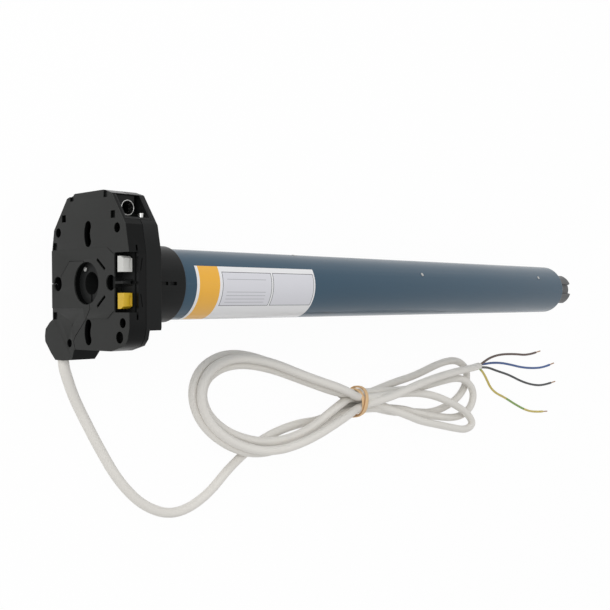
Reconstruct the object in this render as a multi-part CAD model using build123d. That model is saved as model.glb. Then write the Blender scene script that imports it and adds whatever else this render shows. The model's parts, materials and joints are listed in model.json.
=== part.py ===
"""Tubular roller blind motor, lying on its side on a table with its mains lead bound in a hank.

Frame: X runs along the motor tube from the front face of the head, which is at x = 0, to the drive end.
Y runs along the head's long side, away from the lead, and Z points up from the table.
The X axis is the axis of the tube. All lengths are millimetres.
"""
from build123d import *
from math import acos, atan2, cos, degrees, pi, radians, sin, sqrt, tan
import os

# Clearances and overruns
running_gap = 0.3
slip_gap = 0.1
pin_gap = 0.06
overrun = 1.0

# Head outline, measured from the tube's axis
head_top = 59.5
head_bottom = 43.7
head_left = 41.0
head_right = 45.3
head_depth = 26.0
cover_depth = 13.5
lower_depth = 17.0
lower_edge = 30.5
head_wall = 2.2
face_wall = 3.0
rear_wall = 3.0
edge_round = 0.6
band_step = 0.4
outline_shares = [
    (-0.549, -0.988), (0.382, -1.0), (0.612, -0.941), (0.953, -0.554), (0.997, -0.317),
    (1.0, 0.419), (0.958, 0.605), (0.617, 0.921), (0.313, 1.0), (-0.657, 1.0),
    (-0.824, 0.958), (-0.92, 0.872), (-0.998, 0.578), (-1.0, -0.488),
]

# Round recess of the face with the socket of the wall bracket in its floor
recess_radius = 13.9
recess_depth = 4.2
recess_rim = 2.0
socket_radius = 7.5
hub_wall = 2.0
hub_plate = 3.0
hub_seat = 2.0
hub_sleeve = 8.0
key_width = 1.8
hub_screw_radius = 1.6
hub_screw_length = 3.6
hub_screw_place = 11.1
hub_screw_angle = 122.0
cross_width = 0.5
cross_depth = 0.7

# Holes of the face
slot_width = 6.8
slot_length = 17.0
slot_bulge = 1.1
slot_middle = 32.0
slot_z = 1.6
bracket_hole_radius = 3.2
bracket_hole_y = 34.5
bracket_hole_z = 33.4
lower_hole_places = [(-25.5, 38.9), (-34.6, 35.6)]
lower_hole_radii = [3.2, 3.8]
plug_hole_radius = 2.9
plug_hole_y = -39.6
plug_hole_z = -20.4
square_side = 4.8
square_places = [(43.6, -26.6), (43.2, 29.0)]
rim_notch = 5.0
rim_notch_wall = 1.2
rim_notch_places = [25.4, -21.6]
top_notch_depth = 5.0
top_notch_width = 4.4
top_notch_places = [-17.0, 21.0]
oblique_length = 11.2
oblique_width = 2.0
oblique_y = 11.9
oblique_z = 16.4
oblique_angle = 52.0
hand_hollow_radius = 5.0
hand_hollow_z = 33.6
mark_length = 8.0
mark_width = 0.7
mark_depth = 0.5
mark_x = 10.2
mark_y = 11.4
mark_angle = 8.7
snap_width = 1.4
snap_length = 4.6
snap_depth = 2.6
snap_x = 7.1
seam_width = 0.5
seam_depth = 0.4
parting_groove = 0.45
parting_groove_depth = 0.8

# Lead plug, the removable corner of the head
plug_depth = 12.0
block_depth = 21.0
block_bottom = 51.5
block_left = 50.5
block_chamfer = 3.0
plug_gap = 0.12
block_shares = [
    (-0.45, -0.60), (-0.466, -0.802), (-0.505, -0.877), (-0.594, -0.982), (-0.685, -1.0),
    (-0.761, -0.992), (-0.913, -0.848), (-0.998, -0.745), (-1.0, -0.554), (-0.986, -0.362),
    (-0.842, -0.298), (-0.62, -0.298),
]
parting_shares = [
    (0.0, -1.3), (0.0, -0.756), (0.096, -0.698), (0.245, -0.473), (0.242, -0.078), (0.0, 0.0),
    (-0.382, 0.082), (-0.517, -0.012), (-0.789, -0.327), (-0.879, -0.393), (-1.0, -0.337),
    (-1.4, -0.337), (-1.4, -1.3),
]
raised_shares = [
    (0.378, -1.3), (0.378, 0.501), (0.306, 0.651), (0.306, 1.3), (-0.416, 1.3),
    (-0.416, 0.651), (-0.526, 0.501), (-0.526, -0.049), (-0.371, -0.098), (-0.371, -1.3),
]
lip_width = 2.5
lip_wall = 1.0
lip_gap = 0.45
dash_length = 3.2
dash_width = 0.8
dash_depth = 0.6
dash_places = [(11.8, -24.0, 90.0), (-27.4, -16.6, 40.0)]
contact_count = 4
contact_pitch = 4.6
contact_width = 3.0
contact_thickness = 0.8
contact_length = 6.0
contact_y = -12.6
contact_z = -28.5
contact_block_width = 9.0
contact_block_depth = 4.4

# Limit buttons in the window at the corner of the face
window_half = 18.9
window_z = 30.8
window_depth = 8.0
window_hollow_radius = 5.1
window_hollow_z = 27.0
button_low = 6.6
button_high = 16.6
button_front = 0.4
button_depth = 6.8
button_z = 33.8
button_height = 6.1
button_slant = 3.0
button_travel = 3.0
button_mark_width = 1.7
button_mark_length = 6.4
button_mark_depth = 1.0
stem_radius = 1.3
stem_length = 8.4
stem_x = 5.6
frame_wall = 1.7
frame_half = 25.0
frame_z = 25.0
frame_height = 16.0
ear_half = 3.4
guide_wall = 2.5
tongue_thickness = 1.6
tongue_z = 30.0
tongue_height = 8.5
tongue_front = 1.0
tongue_eye_radius = 2.2
tongue_eye_bore = 1.1
spring_outer = 2.3
spring_inner = 1.6
switch_height = 3.4
switch_width = 8.0
switch_length = 3.9

# Corner socket with its eyelet and pin
pocket_front = 2.2
pocket_behind = 3.4
pocket_low = 41.5
pocket_high = 56.4
pocket_floor = 26.0
pocket_wall = 1.6
pocket_base = 12.0
eyelet_radius = 5.1
eyelet_bore = 4.5
eyelet_length = 5.0
eyelet_proud = 0.4
eyelet_behind = 8.7
eyelet_y = 48.4
deep_length = 2.5
deep_wall = 2.0
pocket_pin_radius = 2.0
pocket_pin_height = 3.2
pocket_pin_behind = 2.8
pocket_pin_z = 32.4

# Neck and the limit ring that turns on it
neck_outer = 19.6
neck_inner = 16.6
neck_flange = 3.0
tube_plug_length = 16.0
ring_outer = 26.7
ring_length = 36.0
ring_sleeve = 22.2
ring_reach = 8.4
ring_key_width = 2.4
ring_key_depth = 2.4
ring_key_start = 8.0
ring_key_length = 19.4
ring_web_start = 20.6
ring_web = 1.8
limit_teeth = 48
pinion_teeth = 12
limit_module = 1.0
limit_width = 4.0
limit_angle = 41.25
pinion_shaft_radius = 1.6
cam_radius = 4.8
cam_width = 2.5
cam_gap = 0.6

# Motor tube and what shows on it
tube_outer = 25.0
tube_wall = 1.5
tube_length = 536.7
tube_rim_round = 1.4
tube_mouth_radius = 19.0
label_gap = 11.0
label_length = 121.0
label_from_angle = -79.0
label_to_angle = 30.5
label_thickness = 0.12
rivet_radius = 1.6
rivet_gap = 0.25
rivet_proud = 0.3
rivet_distances = [128.0, 278.0, 488.0]
rivet_angles = [77.0, 27.2, 28.7]

# Drive train in the tube
inner_gap = 0.3
capacitor_gap = 38.0
capacitor_length = 62.0
capacitor_radius = 16.0
holder_width = 4.0
bay_gap = 20.0
brake_length = 28.0
brake_bore = 5.0
disc_radius = 19.0
disc_width = 4.0
disc_travel = 0.5
bell_width = 7.0
disc_space = 18.0
stator_length = 120.0
stator_bore = 14.4
winding_length = 12.0
winding_outer = 21.0
rotor_radius = 14.0
rotor_shaft_radius = 3.0
bearing_outer = 8.0
bell_gap = 1.2
gear_module = 0.8
sun_teeth = 15
planet_teeth = 15
ring_teeth = 45
planets_per_stage = 3
stage_one_width = 20.0
stage_two_width = 34.0
carrier_width = 5.0
carrier_radius = 16.2
stage_gap = 1.2
gearbox_gap = 12.0
planet_pin_radius = 2.2
output_radius = 10.0
bush_length = 60.0
shaft_head_radius = 17.0
shaft_head_length = 12.0
shaft_lug_length = 23.0
shaft_lug_step = 0.4
shaft_lug_depth = 3.8
shaft_lug_round = 2.2
shaft_lug_count = 4
shaft_lug_half_angle = 24.5
shaft_lug_turn = -3.0
shaft_centre_radius = 6.0
shaft_centre_depth = 8.0
shaft_head_gap = 1.0

# Gear teeth
pressure_angle = 25.0
addendum_share = 0.9
dedendum_share = 1.1
tooth_backlash = 0.22

# Mains lead: its cord, its hank and its four cores
cord_diameter = 7.6
core_diameter = 2.6
tip_diameter = 1.4
tip_length = 11.0
loop_count = 3
loop_gap = 1.3
waist_x = 334.0
waist_y = -108.0
band_width = 7.0
band_wall = 0.9
band_lift = 1.3
least_gap = 0.4
lead_route = [
    (5.3, -46.0, -36.2), (5.9, -55.0, -36.9), (11.5, -66.0, -40.0), (19.0, -79.0, -44.2),
    (29.0, -95.0, -46.7), (42.0, -118.0, -46.7), (58.5, -144.0, -46.7), (81.0, -166.0, -46.7),
    (110.0, -177.5, -46.7), (142.0, -168.5, -46.7), (171.0, -145.0, -46.7), (208.0, -127.0, -46.7),
    (248.0, -119.6, -46.7), (282.0, -120.0, -46.7),
]
left_lobe_shares = [
    (0.45, 0.60), (0.66, 0.93), (0.83, 1.0), (0.96, 0.74), (1.0, 0.26), (0.95, -0.28),
    (0.83, -0.70), (0.66, -0.90), (0.46, -0.70),
]
left_sink_shares = [0.55, 0.9, 1.0, 1.0, 1.0, 0.85, 0.3, 0.0, 0.0]
right_lobe_shares = [
    [(0.45, -0.86), (0.62, -1.1), (0.80, -0.98), (0.94, -0.60), (1.0, 0.05), (0.96, 0.55),
     (0.86, 0.84), (0.70, 0.80), (0.48, 0.52)],
    [(0.45, -0.62), (0.64, -0.86), (0.82, -0.98), (0.95, -0.66), (1.0, 0.0), (0.96, 0.62),
     (0.84, 0.98), (0.66, 0.82), (0.45, 0.55)],
    [(0.45, -0.44), (0.62, -0.46), (0.80, -0.50), (0.93, -0.48), (1.0, -0.12), (0.96, 0.26),
     (0.86, 0.58), (0.70, 0.86), (0.50, 1.0)],
]
left_lobe_lengths = [210.0, 214.0, 219.0]
left_lobe_halves = [44.5, 39.5, 36.0]
left_lobe_turns = [-3.2, -4.2, -4.0]
right_lobe_lengths = [186.0, 184.0, 171.0]
right_lobe_halves = [26.0, 22.0, 19.6]
right_lobe_turns = [4.0, -2.5, -11.3]
gather_x = 50.0
right_start_ys = [-15.5, -8.0, -15.0]
right_end_ys = [18.0, 8.0, 7.0]
left_start_ys = [22.0, 13.0, 18.0]
left_end_ys = [-9.0, -12.0, -4.0]
waist_slot_shares = [(-1.5, 0.0), (1.5, 0.0), (-0.5, 0.0), (0.5, 0.0), (-1.0, 0.88), (1.0, 0.88), (0.0, 0.88)]
tail_route = [
    (357.0, -103.0, -25.0), (384.0, -94.5, -19.5), (420.0, -89.0, -21.0), (462.0, -86.0, -27.0),
    (500.0, -84.7, -33.0), (520.0, -84.5, -38.2), (540.5, -84.5, -46.2),
]
core_routes = {
    "core_brown": [
        (542.1, -82.9, -44.9), (553.0, -80.0, -46.5), (568.6, -76.5, -48.8), (590.0, -73.9, -49.2),
        (622.0, -74.8, -49.2), (652.0, -77.7, -49.2), (671.5, -75.2, -49.2),
    ],
    "core_blue": [
        (541.2, -82.9, -47.6), (554.0, -83.4, -48.6), (571.0, -82.6, -49.2), (592.7, -83.8, -49.2),
        (614.8, -87.2, -49.2), (637.6, -91.4, -49.2), (664.0, -93.9, -49.2), (690.0, -94.3, -49.2),
        (705.5, -91.9, -49.2),
    ],
    "core_black": [
        (542.1, -86.1, -44.9), (552.0, -86.6, -47.0), (566.0, -88.0, -49.0), (583.0, -92.5, -49.2),
        (609.2, -98.5, -49.2), (637.5, -108.0, -49.2), (663.9, -114.0, -49.2), (688.2, -116.3, -49.2),
        (708.5, -114.4, -49.2),
    ],
    "core_earth": [
        (541.2, -86.1, -47.6), (548.0, -89.0, -48.4), (555.5, -94.0, -49.2), (562.0, -101.5, -49.2),
        (568.4, -109.8, -49.2), (579.5, -117.3, -49.2), (600.6, -124.5, -49.2), (623.0, -134.0, -49.2),
        (646.0, -142.5, -49.2), (666.8, -147.0, -49.2), (688.0, -148.2, -49.2),
    ],
}

# Values that follow from the sizes above
cord_radius = cord_diameter / 2
pocket_rear = head_depth - pocket_behind
eyelet_x = pocket_rear - eyelet_behind
pocket_pin_x = pocket_rear - pocket_pin_behind
deep_front = pocket_rear - pocket_wall / 2 - deep_length
ring_front = head_depth - ring_reach
ring_end = head_depth + ring_length
tube_end = ring_end + running_gap + tube_length
capacitor_start = ring_end + capacitor_gap
label_start = ring_end + label_gap
label_end = label_start + label_length
brake_start = capacitor_start + capacitor_length + bay_gap
rear_bell_start = brake_start + brake_length + disc_space
stator_start = rear_bell_start + bell_width + bell_gap + winding_length
front_bell_start = stator_start + stator_length + winding_length + bell_gap
gearbox_start = front_bell_start + bell_width + gearbox_gap
bush_start = tube_end - tube_wall - slip_gap - bush_length
floor_z = -block_left
tube_inner = tube_outer - tube_wall
inner_radius = tube_inner - inner_gap
hub_radius = recess_radius + hub_seat
neck_front = recess_depth + hub_plate
loop_pitch = cord_diameter + loop_gap
stage_one_start = gearbox_start + bell_width
carrier_one_start = stage_one_start + stage_one_width + stage_gap
stage_two_start = carrier_one_start + carrier_width + stage_gap
carrier_two_start = stage_two_start + stage_two_width + stage_gap
gearbox_end = carrier_two_start + carrier_width + stage_gap
planet_distance = gear_module * (sun_teeth + planet_teeth) / 2


def disc(radius, start, length):
    return extrude(Plane.YZ.offset(start) * Circle(radius), length)


def tube_piece(outer, inner, start, length):
    return disc(outer, start, length) - disc(inner, start - overrun, length + 2 * overrun)


def bar(x_low, x_high, y_low, y_high, z_low, z_high):
    centre = ((x_low + x_high) / 2, (y_low + y_high) / 2, (z_low + z_high) / 2)
    return Pos(*centre) * Box(x_high - x_low, y_high - y_low, z_high - z_low)


def round_bar_z(radius, x, y, z_low, z_high):
    return Pos(x, y, (z_low + z_high) / 2) * Cylinder(radius, z_high - z_low)


def prism(points, start, length):
    face = make_face(Plane.YZ.offset(start) * Polyline(*points, close=True))
    return extrude(face, length, dir=(1, 0, 0))


def face_points(shares):
    points = []
    for y_share, z_share in shares:
        y = y_share * (head_top if y_share > 0 else head_bottom)
        z = z_share * (head_right if z_share > 0 else head_left)
        points.append((y, z))
    return points


def block_points(shares):
    return [(y_share * block_bottom, z_share * block_left) for y_share, z_share in shares]


def head_prism(start, length, inset=0.0):
    outline = make_face(Plane.YZ.offset(start) * Polyline(*face_points(outline_shares), close=True))
    if inset:
        outline = offset(outline, -inset, kind=Kind.INTERSECTION)
    return extrude(outline, length, dir=(1, 0, 0))


def parting_prism(start, length, grown):
    face = make_face(Plane.YZ.offset(start) * Polyline(*face_points(parting_shares), close=True))
    if grown:
        face = offset(face, grown, kind=Kind.INTERSECTION)
    return extrude(face, length, dir=(1, 0, 0))


def raised_field():
    slab = bar(-overrun, band_step, -2 * block_bottom, 2 * head_top, -2 * block_left, 2 * head_right)
    return slab - prism(face_points(raised_shares), -2 * overrun, band_step + 3 * overrun)


# Gears: involute teeth as short chords, with a tooth centred on the Y axis
def involute(angle):
    return tan(angle) - angle


def gear_points(teeth, module, addendum, dedendum, widening):
    pitch_radius = module * teeth / 2
    base_radius = pitch_radius * cos(radians(pressure_angle))
    half_pitch = pi / (2 * teeth) + widening / (2 * pitch_radius)
    points = []
    for tooth in range(teeth):
        middle = 2 * pi * tooth / teeth
        flank = []
        for radius in (pitch_radius - dedendum, pitch_radius - dedendum / 2, pitch_radius,
                       pitch_radius + addendum / 2, pitch_radius + addendum):
            along = acos(min(1.0, base_radius / max(radius, base_radius)))
            flank.append((radius, half_pitch + involute(radians(pressure_angle)) - involute(along)))
        for radius, half in flank:
            points.append((radius * cos(middle - half), radius * sin(middle - half)))
        for radius, half in reversed(flank):
            points.append((radius * cos(middle + half), radius * sin(middle + half)))
    return points


def gear(teeth, module, start, width):
    points = gear_points(teeth, module, addendum_share * module, dedendum_share * module, -tooth_backlash / 2)
    return prism(points, start, width)


def ring_gear_space(start, width):
    points = gear_points(ring_teeth, gear_module, dedendum_share * gear_module,
                         addendum_share * gear_module, tooth_backlash / 2)
    return prism(points, start, width)


# Head
def slot_cut(middle):
    half = slot_length / 2 - slot_width / 2
    arc = ThreePointArc((middle - half, slot_z), (middle, slot_z - slot_bulge), (middle + half, slot_z))
    return extrude(Plane.YZ.offset(-overrun) * SlotArc(arc, slot_width), face_wall + 2 * overrun)


def face_cuts():
    through = face_wall + 2 * overrun
    cuts = [slot_cut(slot_middle), slot_cut(-slot_middle)]
    holes = [(bracket_hole_y, side * bracket_hole_z, bracket_hole_radius) for side in (-1, 1)]
    holes += [(y, z, radius) for (y, z), radius in zip(lower_hole_places, lower_hole_radii)]
    for y, z, radius in holes:
        cuts.append(Pos(0, y, z) * disc(radius, -overrun, through))
    half = square_side / 2
    for y, z in square_places:
        cuts.append(bar(-overrun, face_wall + overrun, y - half, y + half, z - half, z + half))
    cuts += [rim_notch_cut(y) for y in rim_notch_places]
    for z in top_notch_places:
        cuts.append(bar(-overrun, face_wall / 2, head_top - top_notch_depth, head_top + overrun,
                        z - top_notch_width / 2, z + top_notch_width / 2))
    for side in (-1, 1):
        slit = Box(through, oblique_length, oblique_width)
        cuts.append(Pos(face_wall / 2, side * oblique_y, oblique_z) * Rot(X=-side * oblique_angle) * slit)
        mark = Box(mark_width, mark_length, 2 * mark_depth)
        cuts.append(Pos(mark_x, side * mark_y, head_right) * Rot(Z=-side * mark_angle) * mark)
        snap_y = side * (window_half + snap_length / 2)
        cuts.append(Pos(snap_x, snap_y, head_right) * Box(snap_width, snap_length, 2 * snap_depth))
    return cuts


def rim_notch_cut(y):
    low = -head_left + rim_notch_wall
    return bar(-overrun, face_wall / 2, y - rim_notch / 2, y + rim_notch / 2, low, low + rim_notch)


def window_cut(grown=0.0):
    low = window_z - grown
    cut = bar(-overrun, window_depth + grown, -window_half, window_half, low, head_right + overrun)
    return cut + Pos(0, 0, window_hollow_z) * disc(window_hollow_radius, -overrun, window_depth + overrun)


def corner_cut(grown):
    return bar(pocket_front - grown, pocket_rear + grown, pocket_low - pocket_wall - grown,
               pocket_high + grown, pocket_base - grown, head_right + overrun)


def front_cover():
    shell = head_prism(0, cover_depth) - head_prism(face_wall, cover_depth, head_wall)
    shell += disc(recess_radius + recess_rim, face_wall, recess_depth - face_wall)
    shell -= disc(recess_radius, -overrun, recess_depth + 2 * overrun)
    for cut in face_cuts():
        shell -= cut
    shell -= Pos(0, 0, -hand_hollow_z) * disc(hand_hollow_radius, -overrun, face_wall + 2 * overrun)
    shell -= window_cut()
    shell -= raised_field()
    shell -= corner_cut(slip_gap)
    shell -= parting_prism(-overrun, head_depth, plug_gap)
    shell -= parting_prism(-overrun, parting_groove_depth + overrun, parting_groove)
    return largest(shell)


def largest(shape):
    return max(shape.solids(), key=lambda solid: solid.volume)


def rear_housing():
    upper = head_prism(cover_depth, head_depth - cover_depth)
    upper -= bar(lower_depth, head_depth + overrun, -2 * head_bottom, -lower_edge,
                 -2 * head_left, 2 * head_right)
    hollow = head_prism(cover_depth - overrun, head_depth - rear_wall - cover_depth + overrun, head_wall)
    hollow -= bar(lower_depth - head_wall, head_depth, -2 * head_bottom, head_wall - lower_edge,
                  -2 * head_left, 2 * head_right)
    shell = upper - hollow
    seam = head_prism(cover_depth, seam_width)
    shell -= seam - head_prism(cover_depth - overrun, seam_width + 2 * overrun, seam_depth)
    shell -= disc(ring_sleeve + running_gap, 0, head_depth + overrun)
    shell -= corner_cut(slip_gap)
    x, y, z = pinion_place()
    shell -= Pos(0, y, z) * disc(pinion_shaft_radius + pin_gap, 0, head_depth - rear_wall / 2)
    return largest(shell)


def pinion_place():
    distance = limit_module * (limit_teeth + pinion_teeth) / 2
    return ring_front, distance * cos(radians(90 - limit_angle)), distance * sin(radians(90 - limit_angle))


def lead_plug():
    block = prism(block_points(block_shares), 0, block_depth)
    face_part = head_prism(0, plug_depth) & parting_prism(0, plug_depth, 0)
    deep_part = block - head_prism(-overrun, block_depth + 2 * overrun, -plug_gap)
    plug = face_part + deep_part + (block & parting_prism(0, plug_depth, 0))
    low = -block_bottom - overrun
    back = block_depth + overrun
    corner = [(block_depth - block_chamfer, low), (back, low), (back, -head_bottom)]
    plug -= extrude(make_face(Plane.XY * Polyline(*corner, close=True)), 2 * block_left, both=True)
    plug -= disc(recess_radius + slip_gap, -overrun, plug_depth + 2 * overrun)
    plug -= disc(hub_radius + running_gap, recess_depth - slip_gap, plug_depth)
    plug -= disc(neck_outer + hub_seat + running_gap, neck_front - running_gap, plug_depth)
    plug -= Pos(0, 0, -hand_hollow_z) * disc(hand_hollow_radius, -overrun, plug_depth - face_wall + overrun)
    inner_z = -head_left + head_wall + lip_gap
    plug += bar(face_wall + slip_gap, plug_depth, -lip_width, lip_width, inner_z, inner_z + lip_wall)
    plug -= Pos(0, plug_hole_y, plug_hole_z) * disc(plug_hole_radius, -overrun, face_wall + overrun)
    for y in rim_notch_places:
        plug -= rim_notch_cut(y)
    for y, z, angle in dash_places:
        plug -= Pos(0, y, z) * Rot(X=angle) * Box(2 * dash_depth, dash_length, dash_width)
    plug -= raised_field()
    plug -= routed_tube(lead_route[:5], cord_radius + slip_gap)
    for place in contact_places():
        plug -= contact_blade(place, slip_gap)
    return largest(plug)


def contact_places():
    first = -(contact_count - 1) / 2
    return [contact_y + (first + i) * contact_pitch for i in range(contact_count)]


def contact_blade(y, grown):
    half = contact_thickness / 2 + grown
    reach = contact_width / 2 + grown
    return bar(plug_depth - contact_length / 2 - grown, plug_depth + contact_length / 2 + grown,
               y - half, y + half, contact_z - reach, contact_z + reach)


def contact_blades():
    return [contact_blade(y, 0.0) for y in contact_places()]


def contact_block():
    places = contact_places()
    half = contact_block_width / 2
    block = bar(plug_depth + slip_gap, plug_depth + contact_block_depth, places[0] - contact_width,
                places[-1] + contact_width, contact_z - half, contact_z + half)
    for y in places:
        block -= contact_blade(y, slip_gap)
    return block


def head_hub():
    hub = disc(hub_radius, recess_depth, hub_plate)
    hub += disc(socket_radius + hub_wall, recess_depth, hub_sleeve + hub_plate)
    hub -= disc(socket_radius, 0, head_depth)
    hub -= bar(0, recess_depth + hub_plate, -recess_radius, 0, -key_width / 2, key_width / 2)
    y, z = hub_screw_yz()
    hub -= Pos(0, y, z) * disc(hub_screw_radius / 2 + pin_gap, 0, recess_depth + hub_plate - overrun)
    return hub


def hub_screw_yz():
    turn = radians(hub_screw_angle)
    return hub_screw_place * sin(turn), hub_screw_place * cos(turn)


def hub_screw():
    y, z = hub_screw_yz()
    head_length = hub_screw_length / 3
    screw = disc(hub_screw_radius, recess_depth - head_length, head_length)
    screw += disc(hub_screw_radius / 2, recess_depth - head_length, hub_screw_length - head_length)
    reach = hub_screw_radius * 2 / 3
    cross_floor = recess_depth - head_length + cross_depth
    screw -= bar(-overrun, cross_floor, -reach, reach, -cross_width / 2, cross_width / 2)
    screw -= bar(-overrun, cross_floor, -cross_width / 2, cross_width / 2, -reach, reach)
    return Pos(0, y, z) * screw


# Limit buttons
def button_frame():
    front = window_depth + slip_gap
    half = tongue_thickness / 2
    frame = bar(front, front + frame_wall, -frame_half, frame_half, frame_z, frame_z + frame_height)
    frame += bar(face_wall + slip_gap, front, -window_half, window_half, frame_z, frame_z + guide_wall)
    frame += bar(tongue_front, front, -half, half, tongue_z, tongue_z + tongue_height)
    frame += round_bar_z(tongue_eye_radius, front, 0, tongue_z, tongue_z + tongue_height)
    frame -= round_bar_z(tongue_eye_bore, front, 0, tongue_z + tongue_height / 2, head_right)
    for side in (-1, 1):
        frame -= round_bar_z(stem_radius + pin_gap, stem_x, side * button_middle(), 0, head_right)
    x, y, z = pinion_place()
    frame += bar(front, front + frame_wall, y - ear_half, y + ear_half, z - ear_half, frame_z + frame_wall)
    frame -= Pos(0, y, z) * disc(pinion_shaft_radius + pin_gap, 0, head_depth)
    return largest(frame)


def button_middle():
    return (button_low + button_high) / 2


def button(side):
    top = button_z + button_height
    outline = [(button_low, button_z), (button_high, button_z), (button_high, top - button_slant),
               (button_high - button_slant / 2, top), (button_low, top)]
    body = prism([(y, z) for y, z in outline], button_front, button_depth)
    middle = button_middle()
    mark_front = button_front + button_depth * 2 / 3
    half_mark = button_mark_length / 2
    body -= bar(mark_front, mark_front + button_mark_width, middle - half_mark, middle + half_mark,
                top - button_mark_depth, top + overrun)
    body += round_bar_z(stem_radius, stem_x, middle, button_z - stem_length, button_z + stem_radius)
    return body if side > 0 else mirror(body, Plane.XZ)


def button_spring(side):
    low = frame_z + guide_wall + slip_gap
    y = side * button_middle()
    spring = round_bar_z(spring_outer, stem_x, y, low, button_z - slip_gap)
    return spring - round_bar_z(spring_inner, stem_x, y, low - overrun, button_z + overrun)


def limit_switches():
    top = button_z - stem_length - button_travel - slip_gap
    switches = []
    for side in (-1, 1):
        y = side * button_middle()
        switches.append(bar(face_wall + slip_gap, face_wall + slip_gap + switch_length, y - switch_width / 2,
                            y + switch_width / 2, top - switch_height, top))
    return switches


# Corner socket
def corner_socket():
    block = head_prism(pocket_front, pocket_rear - pocket_front)
    block &= bar(pocket_front, pocket_rear, pocket_low - pocket_wall, pocket_high, pocket_base, head_right)
    back = pocket_rear - pocket_wall / 2
    block -= bar(pocket_front + pocket_wall, back, pocket_low, head_top, pocket_floor, head_right)
    deep_floor = pocket_base + deep_wall
    block -= bar(deep_front, back, pocket_low + pocket_pin_height, head_top, deep_floor, head_right)
    seat = pocket_floor - eyelet_length
    block -= round_bar_z(eyelet_radius + slip_gap, eyelet_x, eyelet_y, seat, head_right)
    block -= round_bar_z(eyelet_bore, eyelet_x, eyelet_y, deep_floor, head_right)
    return largest(block)


def corner_eyelet():
    low = pocket_floor - eyelet_length
    eyelet = round_bar_z(eyelet_radius, eyelet_x, eyelet_y, low, pocket_floor + eyelet_proud)
    return eyelet - round_bar_z(eyelet_bore, eyelet_x, eyelet_y, low - overrun, head_right)


def corner_pin():
    middle = pocket_low + pocket_pin_height / 2
    pin = Rot(X=90) * Cylinder(pocket_pin_radius, pocket_pin_height)
    return Pos(pocket_pin_x, middle, pocket_pin_z) * pin


# Neck and limit ring
def neck():
    flange = disc(neck_outer + hub_seat, neck_front, neck_flange)
    core = disc(neck_outer, neck_front, ring_end + running_gap - neck_front)
    plug = disc(inner_radius, ring_end + running_gap + slip_gap, tube_plug_length)
    link = disc(neck_outer, ring_end, tube_plug_length)
    body = flange + core + link + plug
    body -= disc(neck_inner, neck_front + neck_flange, tube_end)
    body -= disc(socket_radius + hub_wall + slip_gap, 0, tube_end)
    return body


def limit_ring():
    bore = neck_outer + running_gap
    ring_start = head_depth + running_gap
    ring = disc(ring_outer, ring_start, ring_end - ring_start)
    ring = fillet(ring.edges().filter_by(GeomType.CIRCLE).sort_by(Axis.X)[-1:], edge_round)
    ring += disc(ring_sleeve, ring_front, head_depth)
    ring += gear(limit_teeth, limit_module, ring_front, limit_width)
    ring -= disc(bore, 0, tube_end)
    half = ring_key_width / 2
    key_front = ring_start + ring_key_start
    key_floor = ring_outer - ring_key_depth
    key = bar(key_front, key_front + ring_key_length, -half, half, key_floor, ring_outer + overrun)
    web_front = ring_start + ring_web_start
    key -= bar(web_front, web_front + ring_web, -half, half, 0, ring_outer - ring_key_depth / 3)
    return ring - key


def limit_pinion():
    x, y, z = pinion_place()
    turn = degrees(atan2(z, y))
    wheel = Rot(X=turn + 180) * gear(pinion_teeth, limit_module, ring_front, limit_width)
    shaft_start = window_depth + 2 * slip_gap
    pinion = wheel + disc(pinion_shaft_radius, shaft_start, head_depth - rear_wall * 3 / 4 - shaft_start)
    for cam in range(2):
        pinion += disc(cam_radius, ring_front - (cam + 1) * (cam_width + cam_gap), cam_width)
    return Pos(0, y, z) * pinion


# Tube
def radial_pin(radius, x, angle, inner, outer):
    return Pos(x, 0, 0) * Rot(X=-angle) * Pos(0, 0, (inner + outer) / 2) * Cylinder(radius, outer - inner)


def motor_tube():
    start = ring_end + running_gap
    body = disc(tube_outer, start, tube_end - start)
    body = fillet(body.edges().filter_by(GeomType.CIRCLE).sort_by(Axis.X)[-1:], tube_rim_round)
    body -= disc(tube_inner, 0, tube_end - tube_wall)
    body -= disc(tube_mouth_radius, 0, tube_end + overrun)
    for distance, angle in zip(rivet_distances, rivet_angles):
        x = ring_end + distance
        body -= radial_pin(rivet_radius + rivet_gap, x, angle, tube_inner / 2, tube_outer + overrun)
    return body


def tube_rivets():
    rivets = []
    for distance, angle in zip(rivet_distances, rivet_angles):
        x = ring_end + distance
        rivets.append(radial_pin(rivet_radius, x, angle, inner_radius + slip_gap, tube_outer + rivet_proud))
    return rivets


def rating_label():
    inner = tube_outer + label_thickness / 4
    shell = tube_piece(inner + label_thickness, inner, label_start, label_end - label_start)
    reach = 3 * tube_outer
    middle = (label_from_angle + label_to_angle) / 2
    half = radians((label_to_angle - label_from_angle) / 2)
    side, height = reach * sin(half), reach * cos(half)
    wedge = [(0, 0), (-side, height), (0, reach / cos(half)), (side, height)]
    span = label_end - label_start + 2 * overrun
    return shell & (Rot(X=-middle) * prism(wedge, label_start - overrun, span))


# Drive train
def capacitor():
    return disc(capacitor_radius, capacitor_start, capacitor_length)


def capacitor_holders():
    last = capacitor_start + capacitor_length - 2 * holder_width
    return [tube_piece(inner_radius, capacitor_radius + slip_gap, start, holder_width)
            for start in (capacitor_start + holder_width, last)]


def brake_coil():
    return tube_piece(inner_radius, brake_bore, brake_start, brake_length)


def brake_disc():
    start = brake_start + brake_length + disc_travel + running_gap
    return tube_piece(disc_radius, rotor_shaft_radius + pin_gap, start, disc_width)


def end_bell(start):
    return tube_piece(inner_radius, bearing_outer + pin_gap, start, bell_width)


def bearing(start):
    return tube_piece(bearing_outer, rotor_shaft_radius + pin_gap, start, bell_width)


def stator():
    return tube_piece(inner_radius, stator_bore, stator_start, stator_length)


def windings():
    rear = tube_piece(winding_outer, stator_bore, stator_start - winding_length, winding_length)
    front = tube_piece(winding_outer, stator_bore, stator_start + stator_length, winding_length)
    return [rear, front]


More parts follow.
